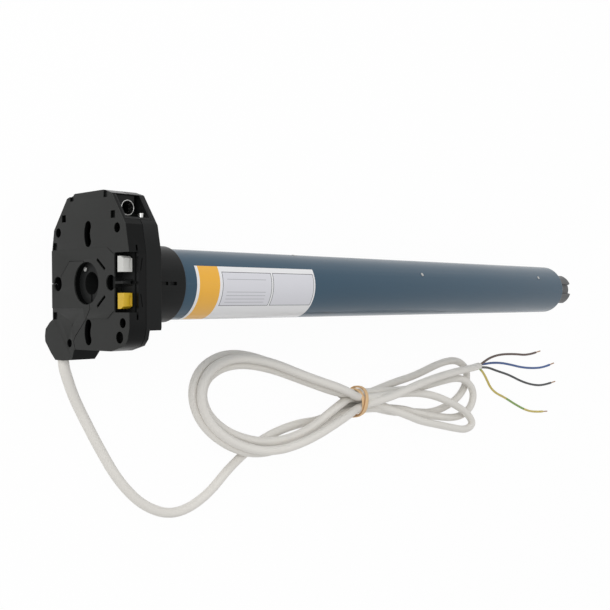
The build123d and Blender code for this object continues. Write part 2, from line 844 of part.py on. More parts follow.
def rotor_core():
    return tube_piece(rotor_radius, rotor_shaft_radius, stator_start, stator_length)


def rotor_shaft():
    start = brake_start + brake_length / 2
    shaft = disc(rotor_shaft_radius, start, stage_one_start - start)
    return shaft + gear(sun_teeth, gear_module, stage_one_start, stage_one_width)


def ring_gear():
    body = disc(inner_radius, gearbox_start, gearbox_end - gearbox_start)
    body -= disc(planet_distance - gear_module, gearbox_start - overrun, bell_width + 2 * overrun)
    return body - ring_gear_space(gearbox_start + overrun, gearbox_end - gearbox_start)


def planet(start, width, place):
    wheel = gear(planet_teeth, gear_module, start, width) - disc(planet_pin_radius + pin_gap, 0, tube_end)
    return Rot(X=place * 360 / planets_per_stage) * (Pos(0, planet_distance, 0) * wheel)


def carrier_plate(start, stage_start):
    plate = disc(carrier_radius, start, carrier_width)
    for place in range(planets_per_stage):
        pin = disc(planet_pin_radius, stage_start, start - stage_start + carrier_width)
        plate += Rot(X=place * 360 / planets_per_stage) * (Pos(0, planet_distance, 0) * pin)
    return plate


def carrier_one():
    sun = gear(sun_teeth, gear_module, carrier_one_start, carrier_width + stage_gap + stage_two_width)
    return carrier_plate(carrier_one_start, stage_one_start) + sun


def output_shaft():
    head_start = tube_end + shaft_head_gap
    lug_start = head_start + shaft_head_length
    lug_end = lug_start + shaft_lug_length
    body = carrier_plate(carrier_two_start, stage_two_start)
    body += disc(output_radius, carrier_two_start, head_start - carrier_two_start)
    lug_radius = shaft_head_radius - shaft_lug_step
    lugs = disc(lug_radius, head_start, lug_end - head_start)
    lugs = fillet(lugs.edges().filter_by(GeomType.CIRCLE).sort_by(Axis.X)[-1:], shaft_lug_round)
    rim = tube_piece(shaft_head_radius, lug_radius - shaft_lug_depth, lug_start, shaft_lug_length)
    gap_half = radians(180 / shaft_lug_count - shaft_lug_half_angle)
    reach = 2 * shaft_head_radius
    for gap in range(shaft_lug_count):
        wedge = [(0, 0), (reach, -reach * tan(gap_half)), (reach, reach * tan(gap_half))]
        angle = shaft_lug_turn + gap * 360 / shaft_lug_count
        lugs -= rim & (Rot(X=angle) * prism(wedge, lug_start, shaft_lug_length))
    lugs -= disc(shaft_centre_radius, lug_end - shaft_centre_depth, shaft_centre_depth)
    return body + lugs + disc(shaft_head_radius, head_start, shaft_head_length)


def end_bush():
    return tube_piece(inner_radius, output_radius + pin_gap, bush_start, bush_length)


# Lead
def route_radii(points):
    radii = []
    for before, here, after in zip(points, points[1:], points[2:]):
        inward, outward = Vector(*here) - Vector(*before), Vector(*after) - Vector(*here)
        half_turn = radians(inward.get_angle(outward)) / 2
        radii.append(0.45 * min(inward.length, outward.length) / tan(half_turn))
    return radii


def routed_tube(points, radius):
    path = FilletPolyline(*points, radius=route_radii(points))
    section = Plane(origin=path @ 0, z_dir=path % 0) * Circle(radius)
    return sweep(section, path=path)


def lobe_points(side, loop):
    left = side < 0
    length = (left_lobe_lengths if left else right_lobe_lengths)[loop]
    half = (left_lobe_halves if left else right_lobe_halves)[loop]
    turn = radians((left_lobe_turns if left else right_lobe_turns)[loop])
    along = Vector(side * cos(turn), side * sin(turn), 0)
    across = Vector(-sin(turn), cos(turn), 0)
    level = loop + 1 if left else loop
    base = Vector(waist_x, waist_y, floor_z + cord_radius + level * loop_pitch)
    first = base + Vector(side * gather_x, (left_start_ys if left else right_start_ys)[loop], 0)
    last = base + Vector(side * gather_x, (left_end_ys if left else right_end_ys)[loop], 0)
    shares = left_lobe_shares if left else right_lobe_shares[loop]
    middle = [base + along * (length * a) + across * (half * b) for a, b in shares]
    if left:
        middle = [point - Vector(0, 0, sink * loop_pitch) for point, sink in zip(middle, left_sink_shares)]
    return [first] + middle + [last]


def waist_point(number):
    across, up = waist_slot_shares[number]
    return Vector(waist_x, waist_y + across * loop_pitch, floor_z + cord_radius + band_lift + up * loop_pitch)


def hank_points():
    points = [(Vector(*lead_route[-1]), None)]
    for loop in range(loop_count):
        points.append((waist_point(2 * loop), Vector(1, 0, 0)))
        points += [(point, None) for point in lobe_points(1, loop)]
        points.append((waist_point(2 * loop + 1), Vector(-1, 0, 0)))
        points += [(point, None) for point in lobe_points(-1, loop)]
    points.append((waist_point(2 * loop_count), Vector(1, 0, 0)))
    return points + [(Vector(*point), None) for point in tail_route]


def hank_tangents(points):
    tangents = []
    last = len(points) - 1
    for number, (point, given) in enumerate(points):
        if given:
            tangents.append(given)
        elif number == 0:
            tangents.append((Vector(*lead_route[-1]) - Vector(*lead_route[-2])).normalized())
        elif number == last:
            tangents.append((point - points[number - 1][0]).normalized())
        else:
            inward = point - points[number - 1][0]
            outward = points[number + 1][0] - point
            blend = inward * (outward.length / inward.length) + outward * (inward.length / outward.length)
            tangents.append(blend.normalized())
    return tangents


def biarc_joint(start, start_tangent, end, end_tangent):
    chord = end - start
    both = start_tangent + end_tangent
    bend = 2 * (1 - start_tangent.dot(end_tangent))
    if bend * chord.length < pin_gap / loop_pitch:
        reach = chord.dot(chord) / (2 * chord.dot(both))
    else:
        reach = (sqrt(chord.dot(both) ** 2 + bend * chord.dot(chord)) - chord.dot(both)) / bend
    near, far = start + start_tangent * reach, end - end_tangent * reach
    return (near + far) / 2, (far - near).normalized()


def arc_middle(start, tangent, end):
    chord = end - start
    sideways = chord - tangent * chord.dot(tangent)
    half_turn = atan2(sideways.length, chord.dot(tangent))
    if sideways.length < pin_gap * pin_gap:
        return None, 0.0
    radius = chord.length / (2 * sin(half_turn))
    toward = sideways.normalized()
    return start + tangent * (radius * sin(half_turn)) + toward * (radius * (1 - cos(half_turn))), radius


def hank_arcs():
    points = hank_points()
    tangents = hank_tangents(points)
    arcs = []
    for number in range(len(points) - 1):
        start, end = points[number][0], points[number + 1][0]
        joint, joint_tangent = biarc_joint(start, tangents[number], end, tangents[number + 1])
        arcs.append((start, tangents[number], joint))
        arcs.append((joint, joint_tangent, end))
    return arcs


def hank_edges():
    edges, radii = [], []
    for start, tangent, end in hank_arcs():
        middle, radius = arc_middle(start, tangent, end)
        if middle is None:
            edges.append(Line(start, end))
        else:
            edges.append(ThreePointArc(start, middle, end))
            radii.append(radius)
    return edges, radii


def hank_gap(edges):
    samples, run = [], 0.0
    for edge in edges:
        steps = max(2, round(edge.length / (cord_radius / 2)))
        for step in range(steps):
            point = edge @ (step / steps)
            samples.append((run + edge.length * step / steps, point.X, point.Y, point.Z))
        run += edge.length
    least = run
    for number, (along, x, y, z) in enumerate(samples):
        for other_along, other_x, other_y, other_z in samples[number + 1:]:
            if other_along - along > 4 * cord_diameter:
                apart = sqrt((x - other_x) ** 2 + (y - other_y) ** 2 + (z - other_z) ** 2)
                least = min(least, apart - cord_diameter)
    return least, run


def cord_hank():
    edges, radii = hank_edges()
    gap, length = hank_gap(edges)
    print("hank length", round(length), "least radius", round(min(radii), 1), "least self-gap", round(gap, 2),
          "wanted over", least_gap)
    path = Wire(edges)
    section = Plane(origin=path @ 0, z_dir=path % 0) * Circle(cord_radius)
    solid = sweep(section, path=path)
    print("hank volume share", round(solid.volume / (pi * cord_radius ** 2 * length), 4))
    return solid


def hank_band():
    width = 4 * loop_pitch + band_wall
    height = cord_diameter + loop_pitch * waist_slot_shares[-1][1] + band_wall
    outer = RectangleRounded(width + 2 * band_wall, height + 2 * band_wall, cord_radius)
    inner = RectangleRounded(width, height, cord_radius - band_wall)
    middle_z = floor_z + band_lift + (height - band_wall) / 2
    return Pos(waist_x - band_width / 2, waist_y, middle_z) * extrude(Plane.YZ * (outer - inner), band_width)


def core_tips():
    tips = []
    for points in core_routes.values():
        last, before = Vector(*points[-1]), Vector(*points[-2])
        heading = (last - before).normalized()
        tips.append(extrude(Plane(origin=last, z_dir=heading) * Circle(tip_diameter / 2), tip_length))
    return tips


def save(name, shape):
    pieces = shape if isinstance(shape, list) else [shape]
    solids = [solid for piece in pieces for solid in piece.solids()]
    result = Compound(children=solids) if len(solids) > 1 else solids[0]
    export_step(result, f"parts/{name}.step")


def print_radii(name, points):
    print(name, "radii", [round(radius, 1) for radius in route_radii(points)])


def main():
    os.makedirs("parts", exist_ok=True)
    save("front_cover", front_cover())
    save("rear_housing", rear_housing())
    save("lead_plug", lead_plug())
    save("contact_blades", contact_blades())
    save("contact_block", contact_block())
    save("head_hub", head_hub())
    save("hub_screw", hub_screw())
    save("button_frame", button_frame())
    save("limit_switches", limit_switches())
    for side, colour in ((1, "white"), (-1, "yellow")):
        save(f"button_{colour}", button(side))
        save(f"spring_{colour}", button_spring(side))
    save("corner_socket", corner_socket())
    save("corner_eyelet", corner_eyelet())
    save("corner_pin", corner_pin())
    save("neck", neck())
    save("limit_ring", limit_ring())
    save("limit_pinion", limit_pinion())
    save("motor_tube", motor_tube())
    save("tube_rivets", tube_rivets())
    save("rating_label", rating_label())
    save("capacitor", capacitor())
    save("capacitor_holders", capacitor_holders())
    save("brake_coil", brake_coil())
    save("brake_disc", brake_disc())
    for end, start in (("rear", rear_bell_start), ("front", front_bell_start)):
        save(f"end_bell_{end}", end_bell(start))
        save(f"bearing_{end}", bearing(start))
    save("stator", stator())
    save("windings", windings())
    save("rotor_core", rotor_core())
    save("rotor_shaft", rotor_shaft())
    save("ring_gear", ring_gear())
    for place, letter in enumerate("abc"):
        save(f"planet_one_{letter}", planet(stage_one_start, stage_one_width, place))
        save(f"planet_two_{letter}", planet(stage_two_start, stage_two_width, place))
    save("carrier_one", carrier_one())
    save("output_shaft", output_shaft())
    save("end_bush", end_bush())
    print_radii("lead", lead_route)
    save("cord_lead", routed_tube(lead_route, cord_radius))
    save("cord_hank", cord_hank())
    save("hank_band", hank_band())
    for name, points in core_routes.items():
        print_radii(name, points)
        save(name, routed_tube(points, core_diameter / 2))
    save("core_tips", core_tips())


main()
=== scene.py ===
# Tubular roller blind motor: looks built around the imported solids.
import json
from math import atan2, cos, pi, radians, sin

import bmesh
import bpy
from mathutils import Matrix, Vector


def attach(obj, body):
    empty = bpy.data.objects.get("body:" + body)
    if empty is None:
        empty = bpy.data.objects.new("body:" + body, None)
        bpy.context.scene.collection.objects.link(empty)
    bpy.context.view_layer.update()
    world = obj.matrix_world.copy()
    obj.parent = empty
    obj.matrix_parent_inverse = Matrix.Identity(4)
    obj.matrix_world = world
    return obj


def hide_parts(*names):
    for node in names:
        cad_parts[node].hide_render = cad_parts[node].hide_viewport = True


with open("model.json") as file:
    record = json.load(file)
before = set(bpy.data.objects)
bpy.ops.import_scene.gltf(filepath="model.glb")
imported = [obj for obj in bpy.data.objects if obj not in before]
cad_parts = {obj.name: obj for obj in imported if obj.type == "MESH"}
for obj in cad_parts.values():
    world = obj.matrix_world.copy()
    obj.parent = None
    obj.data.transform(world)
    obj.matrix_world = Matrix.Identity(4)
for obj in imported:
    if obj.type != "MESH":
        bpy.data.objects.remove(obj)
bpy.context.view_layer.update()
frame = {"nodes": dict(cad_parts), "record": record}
nodes = frame["nodes"]
bodyOf = {node: body for body, names in frame["record"]["behaviour"]["bodies"].items() for node in names}
slotOf = {part["node"]: part["material_slot"] for part in frame["record"]["subparts"]}
mm = 0.001
floorZ = -0.0505  # where the motor rests


def linear(red, green, blue):
    values = []
    for value in (red, green, blue):
        share = value / 255
        values.append(share / 12.92 if share <= 0.04 else ((share + 0.055) / 1.055) ** 2.4)
    return values + [1.0]


# The camera stands on the head's side and is rolled a quarter turn, as the photograph was.
cameraFacts = {
    "place": (-0.3485, -0.0124, 0.5198), "tilt": 42.999, "roll": -0.292,
    "pixelFocus": 935.113, "pixels": 610, "sensor": 36, "clip": (0.01, 50),
}


def makeCamera(facts):
    tilt, roll = radians(facts["tilt"]), radians(facts["roll"])
    along = Vector((sin(tilt) * cos(roll), sin(roll), cos(tilt) * cos(roll)))
    down = Vector((0, -1, 0))
    down = (down - along * down.dot(along)).normalized()
    side = along.cross(down)
    right = Vector((along.x, down.x, side.x))
    up = -Vector((along.y, down.y, side.y))
    back = -Vector((along.z, down.z, side.z))
    data = bpy.data.cameras.new("photoCamera")
    data.sensor_width = facts["sensor"]
    data.lens = facts["sensor"] * facts["pixelFocus"] / facts["pixels"]
    data.clip_start, data.clip_end = facts["clip"]
    camera = bpy.data.objects.new("photoCamera", data)
    place = facts["place"]
    camera.matrix_world = Matrix((
        (right.x, up.x, back.x, place[0]),
        (right.y, up.y, back.y, place[1]),
        (right.z, up.z, back.z, place[2]),
        (0, 0, 0, 1),
    ))
    bpy.context.collection.objects.link(camera)
    bpy.context.scene.camera = camera


makeCamera(cameraFacts)
print("camera placed")


def newGroup(name, inputs, outputs):
    group = bpy.data.node_groups.new(name, "ShaderNodeTree")
    for label, kind, value in inputs:
        socket = group.interface.new_socket(label, in_out="INPUT", socket_type=kind)
        socket.default_value = value
    for label, kind in outputs:
        group.interface.new_socket(label, in_out="OUTPUT", socket_type=kind)
    entry = group.nodes.new("NodeGroupInput")
    leave = group.nodes.new("NodeGroupOutput")
    return group, entry, leave


def mathNode(tree, operation, first, second=None):
    node = tree.nodes.new("ShaderNodeMath")
    node.operation = operation
    for socket, value in zip(node.inputs, (first, second)):
        if value is None:
            continue
        if isinstance(value, (int, float)):
            socket.default_value = value
        else:
            tree.links.new(value, socket)
    return node.outputs[0]


def mixColour(tree, share, first, second):
    node = tree.nodes.new("ShaderNodeMix")
    node.data_type = "RGBA"
    for socket, value in ((node.inputs[0], share), (node.inputs[6], first), (node.inputs[7], second)):
        if isinstance(value, (int, float, list, tuple)):
            socket.default_value = value
        else:
            tree.links.new(value, socket)
    return node.outputs[2]


def noiseNode(tree, scale, detail, vector):
    node = tree.nodes.new("ShaderNodeTexNoise")
    node.inputs["Detail"].default_value = detail
    tree.links.new(scale, node.inputs["Scale"])
    tree.links.new(vector, node.inputs["Vector"])
    return node.outputs[0]


# Fine grain and broad blotches, shared by every finish.
# A finish names only the values in which it differs from plainFinish.
grainFacts = {"fineDetail": 2.0, "broadDetail": 5.0, "broadHeight": 0.3}
plainFinish = {
    "grain": 2200, "blotch": 45, "wear": 0.4, "rough": 0.45, "spread": 0.15, "bump": 0.15,
    "height": 0.0001, "metal": 0.0, "shine": 0.5, "coat": 0.0, "coatRough": 0.2,
}


def makeGrainGroup():
    group, entry, leave = newGroup(
        "mouldGrain",
        [("Colour", "NodeSocketColor", (0.1, 0.1, 0.1, 1)),
         ("Worn Colour", "NodeSocketColor", (0.2, 0.2, 0.2, 1)),
         ("Grain Scale", "NodeSocketFloat", plainFinish["grain"]),
         ("Blotch Scale", "NodeSocketFloat", plainFinish["blotch"]),
         ("Wear", "NodeSocketFloat", plainFinish["wear"]),
         ("Roughness", "NodeSocketFloat", plainFinish["rough"]),
         ("Spread", "NodeSocketFloat", plainFinish["spread"])],
        [("Colour", "NodeSocketColor"), ("Roughness", "NodeSocketFloat"), ("Height", "NodeSocketFloat")])
    place = group.nodes.new("ShaderNodeTexCoord").outputs["Object"]
    fine = noiseNode(group, entry.outputs["Grain Scale"], grainFacts["fineDetail"], place)
    broad = noiseNode(group, entry.outputs["Blotch Scale"], grainFacts["broadDetail"], place)
    worn = mathNode(group, "MULTIPLY", broad, entry.outputs["Wear"])
    colour = mixColour(group, worn, entry.outputs["Colour"], entry.outputs["Worn Colour"])
    group.links.new(colour, leave.inputs["Colour"])
    rough = mathNode(group, "MULTIPLY_ADD", broad, entry.outputs["Spread"])
    group.links.new(entry.outputs["Roughness"], rough.node.inputs[2])
    group.links.new(rough, leave.inputs["Roughness"])
    swell = mathNode(group, "MULTIPLY", broad, grainFacts["broadHeight"])
    group.links.new(mathNode(group, "ADD", fine, swell), leave.inputs["Height"])
    return group


grainGroup = makeGrainGroup()


def finish(name, ownFacts):
    facts = plainFinish | ownFacts
    material = bpy.data.materials.new(name)
    material.use_nodes = True
    tree = material.node_tree
    shader = tree.nodes["Principled BSDF"]
    grain = tree.nodes.new("ShaderNodeGroup")
    grain.node_tree = grainGroup
    grain.inputs["Colour"].default_value = linear(*facts["colour"])
    grain.inputs["Worn Colour"].default_value = linear(*facts["worn"])
    grain.inputs["Grain Scale"].default_value = facts["grain"]
    grain.inputs["Blotch Scale"].default_value = facts["blotch"]
    grain.inputs["Wear"].default_value = facts["wear"]
    grain.inputs["Roughness"].default_value = facts["rough"]
    grain.inputs["Spread"].default_value = facts["spread"]
    tree.links.new(grain.outputs["Colour"], shader.inputs["Base Color"])
    tree.links.new(grain.outputs["Roughness"], shader.inputs["Roughness"])
    bump = tree.nodes.new("ShaderNodeBump")
    bump.inputs["Strength"].default_value = facts["bump"]
    bump.inputs["Distance"].default_value = facts["height"]
    tree.links.new(grain.outputs["Height"], bump.inputs["Height"])
    tree.links.new(bump.outputs["Normal"], shader.inputs["Normal"])
    shader.inputs["Metallic"].default_value = facts["metal"]
    shader.inputs["Specular IOR Level"].default_value = facts["shine"]
    shader.inputs["Coat Weight"].default_value = facts["coat"]
    shader.inputs["Coat Roughness"].default_value = facts["coatRough"]
    return material


finishes = {
    "cover_plastic": {
        "colour": (38, 39, 38), "worn": (49, 49, 47), "bump": 0.35, "grain": 1500, "shine": 0.2},
    "housing_plastic": {
        "colour": (13, 14, 14), "worn": (20, 22, 22), "rough": 0.3, "grain": 1500, "shine": 0.14},
    "insert_plastic": {
        "colour": (24, 25, 25), "worn": (34, 35, 34), "rough": 0.42, "bump": 0.2, "shine": 0.14},
    "tube_paint": {
        "colour": (31, 66, 87), "worn": (42, 78, 99), "rough": 0.3, "bump": 0.05, "grain": 900,
        "coat": 0.45, "coatRough": 0.08, "wear": 0.3, "blotch": 20, "shine": 0.2},
    "bright_steel": {
        "colour": (190, 190, 188), "worn": (140, 140, 138), "metal": 1.0, "rough": 0.25, "bump": 0.08},
    "cast_metal": {
        "colour": (96, 97, 98), "worn": (60, 60, 62), "metal": 0.85, "rough": 0.42, "bump": 0.4,
        "grain": 900},
    "white_plastic": {"colour": (204, 204, 200), "worn": (190, 190, 185), "rough": 0.35, "bump": 0.08},
    "yellow_plastic": {"colour": (208, 172, 30), "worn": (190, 150, 24), "rough": 0.35, "bump": 0.08},
    "brass_metal": {"colour": (200, 165, 90), "worn": (150, 118, 60), "metal": 1.0, "rough": 0.3},
    "copper_winding": {
        "colour": (166, 126, 88), "worn": (126, 90, 58), "metal": 0.7, "rough": 0.35, "grain": 600},
    "core_steel": {"colour": (120, 120, 124), "worn": (84, 84, 88), "metal": 0.9, "rough": 0.4},
    "gear_steel": {"colour": (150, 150, 150), "worn": (110, 110, 112), "metal": 1.0, "rough": 0.3},
    "cord_sheath": {
        "colour": (231, 228, 222), "worn": (219, 215, 208), "rough": 0.42, "bump": 0.05, "grain": 1200,
        "blotch": 30},
    "band_rubber": {"colour": (232, 196, 150), "worn": (216, 174, 124), "rough": 0.55, "bump": 0.2},
    "brown_sheath": {"colour": (88, 68, 60), "worn": (74, 54, 46), "rough": 0.38, "bump": 0.05},
    "blue_sheath": {"colour": (46, 84, 146), "worn": (38, 70, 126), "rough": 0.38, "bump": 0.05},
    "black_sheath": {"colour": (44, 46, 48), "worn": (56, 58, 60), "rough": 0.38, "bump": 0.05},
}
materials = {name: finish(name, facts) for name, facts in finishes.items()}


def objectAxis(tree, letter):
    place = tree.nodes.new("ShaderNodeTexCoord").outputs["Object"]
    split = tree.nodes.new("ShaderNodeSeparateXYZ")
    tree.links.new(place, split.inputs[0])
    return split.outputs[letter]


def between(tree, value, low, high):
    above = mathNode(tree, "GREATER_THAN", value, low)
    below = mathNode(tree, "LESS_THAN", value, high)
    return mathNode(tree, "MULTIPLY", above, below)


# The earth core is yellow, and green between these places along the tube, in metres.
earthFacts = {
    "colour": (208, 190, 104), "worn": (196, 176, 90), "rough": 0.38, "bump": 0.05,
    "green": (134, 166, 84), "greenSpans": [(0.602, 0.642), (0.5, 0.5475)],
}


def earthFinish():
    material = finish("earth_sheath", earthFacts)
    tree = material.node_tree
    shader = tree.nodes["Principled BSDF"]
    base = shader.inputs["Base Color"].links[0].from_socket
    along = objectAxis(tree, "X")
    outer, inner = [between(tree, along, *span) for span in earthFacts["greenSpans"]]
    green = mathNode(tree, "ADD", outer, inner)
    colour = mixColour(tree, green, base, linear(*earthFacts["green"]))
    tree.links.new(colour, shader.inputs["Base Color"])
    return material


materials["earth_sheath"] = earthFinish()

# The head's face is matt grey. What lies deeper than the start, in millimetres, is smooth and near black.
skirtFacts = {"start": 0.9, "colour": (12, 13, 13), "rough": 0.24, "shine": 0.1}


def darkenSkirt(material):
    tree = material.node_tree
    shader = tree.nodes["Principled BSDF"]
    base = shader.inputs["Base Color"].links[0].from_socket
    rough = shader.inputs["Roughness"].links[0].from_socket
    behind = mathNode(tree, "GREATER_THAN", objectAxis(tree, "X"), skirtFacts["start"] * mm)
    colour = mixColour(tree, behind, base, linear(*skirtFacts["colour"]))
    tree.links.new(colour, shader.inputs["Base Color"])
    away = mathNode(tree, "SUBTRACT", rough, skirtFacts["rough"])
    kept = mathNode(tree, "SUBTRACT", 1.0, behind)
    smooth = mathNode(tree, "MULTIPLY_ADD", away, kept)
    smooth.node.inputs[2].default_value = skirtFacts["rough"]
    tree.links.new(smooth, shader.inputs["Roughness"])
    faceShine = shader.inputs["Specular IOR Level"].default_value
    shine = mathNode(tree, "MULTIPLY_ADD", kept, faceShine - skirtFacts["shine"])
    shine.node.inputs[2].default_value = skirtFacts["shine"]
    tree.links.new(shine, shader.inputs["Specular IOR Level"])


darkenSkirt(materials["cover_plastic"])

# The printed film: an orange band and two outlined grey panels, one of them with plain ruled rows.
# Places along the tube are in millimetres, and places round it in degrees from the top.
filmFacts = {"colour": (230, 230, 231), "worn": (222, 222, 225), "rough": 0.3, "bump": 0.03, "coat": 0.5}
filmPrint = {
    "band": (75.4, 94.2), "panels": [(96.8, 146.0), (147.5, 192.4)], "angles": (-37.5, 21.0),
    "line": (0.5, 1.1), "rows": [(-31, -30), (-25, -24), (-19, -18), (-13, -12), (8, 9)],
    "rowSpan": (101.0, 140.0), "rowInk": 0.45,
    "orange": (232, 170, 30), "panelGrey": (212, 212, 218), "ink": (66, 68, 72),
}


def filmFinish():
    material = finish("label_film", filmFacts)
    tree = material.node_tree
    shader = tree.nodes["Principled BSDF"]
    base = shader.inputs["Base Color"].links[0].from_socket
    along = mathNode(tree, "MULTIPLY", objectAxis(tree, "X"), 1 / mm)
    turn = mathNode(tree, "ARCTAN2", objectAxis(tree, "Y"), objectAxis(tree, "Z"))
    around = mathNode(tree, "MULTIPLY", turn, 180 / pi)
    band = between(tree, along, *filmPrint["band"])
    colour = mixColour(tree, band, base, linear(*filmPrint["orange"]))
    low, high = filmPrint["angles"]
    lineX, lineAngle = filmPrint["line"]
    for start, end in filmPrint["panels"]:
        outerX = between(tree, along, start, end)
        outerAngle = between(tree, around, low, high)
        rim = mathNode(tree, "MULTIPLY", outerX, outerAngle)
        colour = mixColour(tree, rim, colour, linear(*filmPrint["ink"]))
        innerX = between(tree, along, start + lineX, end - lineX)
        innerAngle = between(tree, around, low + lineAngle, high - lineAngle)
        panel = mathNode(tree, "MULTIPLY", innerX, innerAngle)
        colour = mixColour(tree, panel, colour, linear(*filmPrint["panelGrey"]))
    rowSpan = between(tree, along, *filmPrint["rowSpan"])
    for row in filmPrint["rows"]:
        line = mathNode(tree, "MULTIPLY", rowSpan, between(tree, around, *row))
        mark = mathNode(tree, "MULTIPLY", line, filmPrint["rowInk"])
        colour = mixColour(tree, mark, colour, linear(*filmPrint["ink"]))
    tree.links.new(colour, shader.inputs["Base Color"])
    return material


materials["label_film"] = filmFinish()
for name, slotName in slotOf.items():
    for slot in nodes[name].material_slots:
        slot.material = materials[slotName]
print("finishes set on", len(nodes), "nodes")


# Moulded and turned parts get their edges rounded on a copy. The widths are in millimetres.
roundFacts = {"merge": 0.002, "flatAngle": 1.0, "sharpAngle": 38, "segments": 2}
edgeRounds = {
    "front_cover": 0.45, "rear_housing": 0.45, "lead_plug": 0.45, "corner_socket": 0.3,
    "head_hub": 0.25, "button_frame": 0.2, "button_white": 0.25, "button_yellow": 0.25,
    "corner_eyelet": 0.15, "corner_pin": 0.3, "limit_ring": 0.3, "output_shaft": 0.5, "hub_screw": 0.15,
}


# The plug grows by less than its gap to the cover, so that no light shows through the parting line.
grownParts = {"lead_plug": 0.1}


def softEdges(name, width):
    source = nodes[name]
    shape = bmesh.new()
    shape.from_mesh(source.data)
    bmesh.ops.remove_doubles(shape, verts=shape.verts, dist=roundFacts["merge"] * mm)
    flat = radians(roundFacts["flatAngle"])
    bmesh.ops.dissolve_limit(shape, angle_limit=flat, verts=shape.verts, edges=shape.edges)
    shape.normal_update()
    grown = grownParts.get(name, 0) * mm
    for vert in shape.verts:
        vert.co += vert.normal * grown
    mesh = bpy.data.meshes.new(name + "_soft")
    shape.to_mesh(mesh)
    shape.free()
    piece = bpy.data.objects.new(name + "_soft", mesh)
    bpy.context.collection.objects.link(piece)
    mesh.materials.append(materials[slotOf[name]])
    bevel = piece.modifiers.new("rounded", "BEVEL")
    bevel.width = width * mm
    bevel.segments = roundFacts["segments"]
    bevel.limit_method = "ANGLE"
    bevel.angle_limit = radians(roundFacts["sharpAngle"])
    bevel.use_clamp_overlap = True
    bevel.harden_normals = False
    for face in mesh.polygons:
        face.use_smooth = True
    mesh.set_sharp_from_angle(angle=radians(roundFacts["sharpAngle"]))
    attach(piece, bodyOf[name])
    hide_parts(name)


for name, width in edgeRounds.items():
    softEdges(name, width)
print("edges rounded on", len(edgeRounds), "parts")


# The mains lead, in millimetres. Its start, its tail and its right bends are as in the solids.
# The waist is bundled tighter than there and nearer to the head, and the left loops are placed anew.
leadFacts = {
    "diameter": 7.6, "loopGap": 1.3, "waist": (334.0, -108.0), "bandLift": 1.3, "gather": 50.0,
    "loops": 3,
    "route": [
        (5.3, -46.0, -36.2), (5.9, -55.0, -36.9), (11.5, -66.0, -40.0), (19.0, -79.0, -44.2),
        (29.0, -95.0, -46.7), (42.0, -118.0, -46.7), (58.5, -144.0, -46.7), (81.0, -166.0, -46.7),
        (110.0, -177.5, -46.7), (142.0, -168.5, -46.7), (171.0, -145.0, -46.7), (208.0, -127.0, -46.7),
        (248.0, -119.6, -46.7), (282.0, -120.0, -46.7)],
    "left": [
        (0.45, 0.60), (0.66, 0.93), (0.83, 1.0), (0.96, 0.74), (1.0, 0.26), (0.95, -0.28),
        (0.83, -0.70), (0.66, -0.90), (0.46, -0.70)],
    "right": [
        [(0.45, -0.86), (0.62, -1.1), (0.80, -0.98), (0.94, -0.60), (1.0, 0.05), (0.96, 0.55),
         (0.86, 0.84), (0.70, 0.80), (0.48, 0.52)],
        [(0.45, -0.62), (0.64, -0.86), (0.82, -0.98), (0.95, -0.66), (1.0, 0.0), (0.96, 0.62),
         (0.84, 0.98), (0.66, 0.82), (0.45, 0.55)],
        [(0.45, -0.44), (0.62, -0.46), (0.80, -0.50), (0.93, -0.48), (1.0, -0.12), (0.96, 0.26),
         (0.86, 0.58), (0.70, 0.86), (0.50, 1.0)]],
    "leftSinks": [
        [0.55, 0.9, 1.0, 1.0, 1.0, 0.85, 0.3, 0.0, 0.0],
        [0.9, 1.5, 1.9, 2.0, 2.0, 1.9, 1.5, 0.8, 0.3],
        [0.9, 1.6, 2.1, 2.2, 2.2, 2.1, 1.6, 0.8, 0.3]],
    "leftLobes": [(208.0, 44.5, -3.2), (198.0, 35.0, -3.6), (205.5, 41.5, -3.3)],
    "rightLobes": [(186.0, 26.0, 4.0), (184.0, 22.0, -2.5), (171.0, 19.6, -11.3)],
    "leftGather": [(19.0, -9.0), (13.0, 3.0), (17.0, -7.0)],
    "rightGather": [(-14.5, 15.0), (-9.0, 8.0), (-15.0, 7.0)],
    "waistShift": (-14.0, 3.5),
    "slots": [(-0.6, -0.4), (-1.5, -1.3), (-7.6, 5.7), (6.9, 4.3), (4.5, 2.8), (1.0, 10.5), (-5.3, 9.9)],
    "tail": [
        (357.0, -103.0, -25.0), (384.0, -94.5, -19.5), (420.0, -89.0, -21.0), (462.0, -86.0, -27.0),
        (500.0, -84.7, -33.0), (520.0, -84.5, -38.2), (540.5, -84.5, -46.2)],
}


# One loop on one side of the waist: out from the bundle, round the bend and back to it.
def lobePoints(side, loop):
    left = side < 0
    length, half, turn = leadFacts["leftLobes" if left else "rightLobes"][loop]
    turn = radians(turn)
    along = Vector((side * cos(turn), side * sin(turn), 0))
    across = Vector((-sin(turn), cos(turn), 0))
    pitch = leadFacts["diameter"] + leadFacts["loopGap"]
    level = loop + 1 if left else loop
    base = Vector((*leadFacts["waist"], floorZ / mm + leadFacts["diameter"] / 2 + level * pitch))
    inY, outY = leadFacts["leftGather" if left else "rightGather"][loop]
    first = base + Vector((side * leadFacts["gather"], inY, 0))
    last = base + Vector((side * leadFacts["gather"], outY, 0))
    shares = leadFacts["left"] if left else leadFacts["right"][loop]
    middle = [base + along * (length * a) + across * (half * b) for a, b in shares]
    if left:
        for point, sink in zip(middle, leadFacts["leftSinks"][loop]):
            point.z -= sink * pitch
    return [first] + middle + [last]


def waistPoint(number):
    across, up = leadFacts["slots"][number]
    x, y = leadFacts["waist"]
    shiftX, shiftY = leadFacts["waistShift"]
    height = floorZ / mm + leadFacts["diameter"] / 2 + leadFacts["bandLift"] + up
    return Vector((x + shiftX, y + shiftY + across, height))


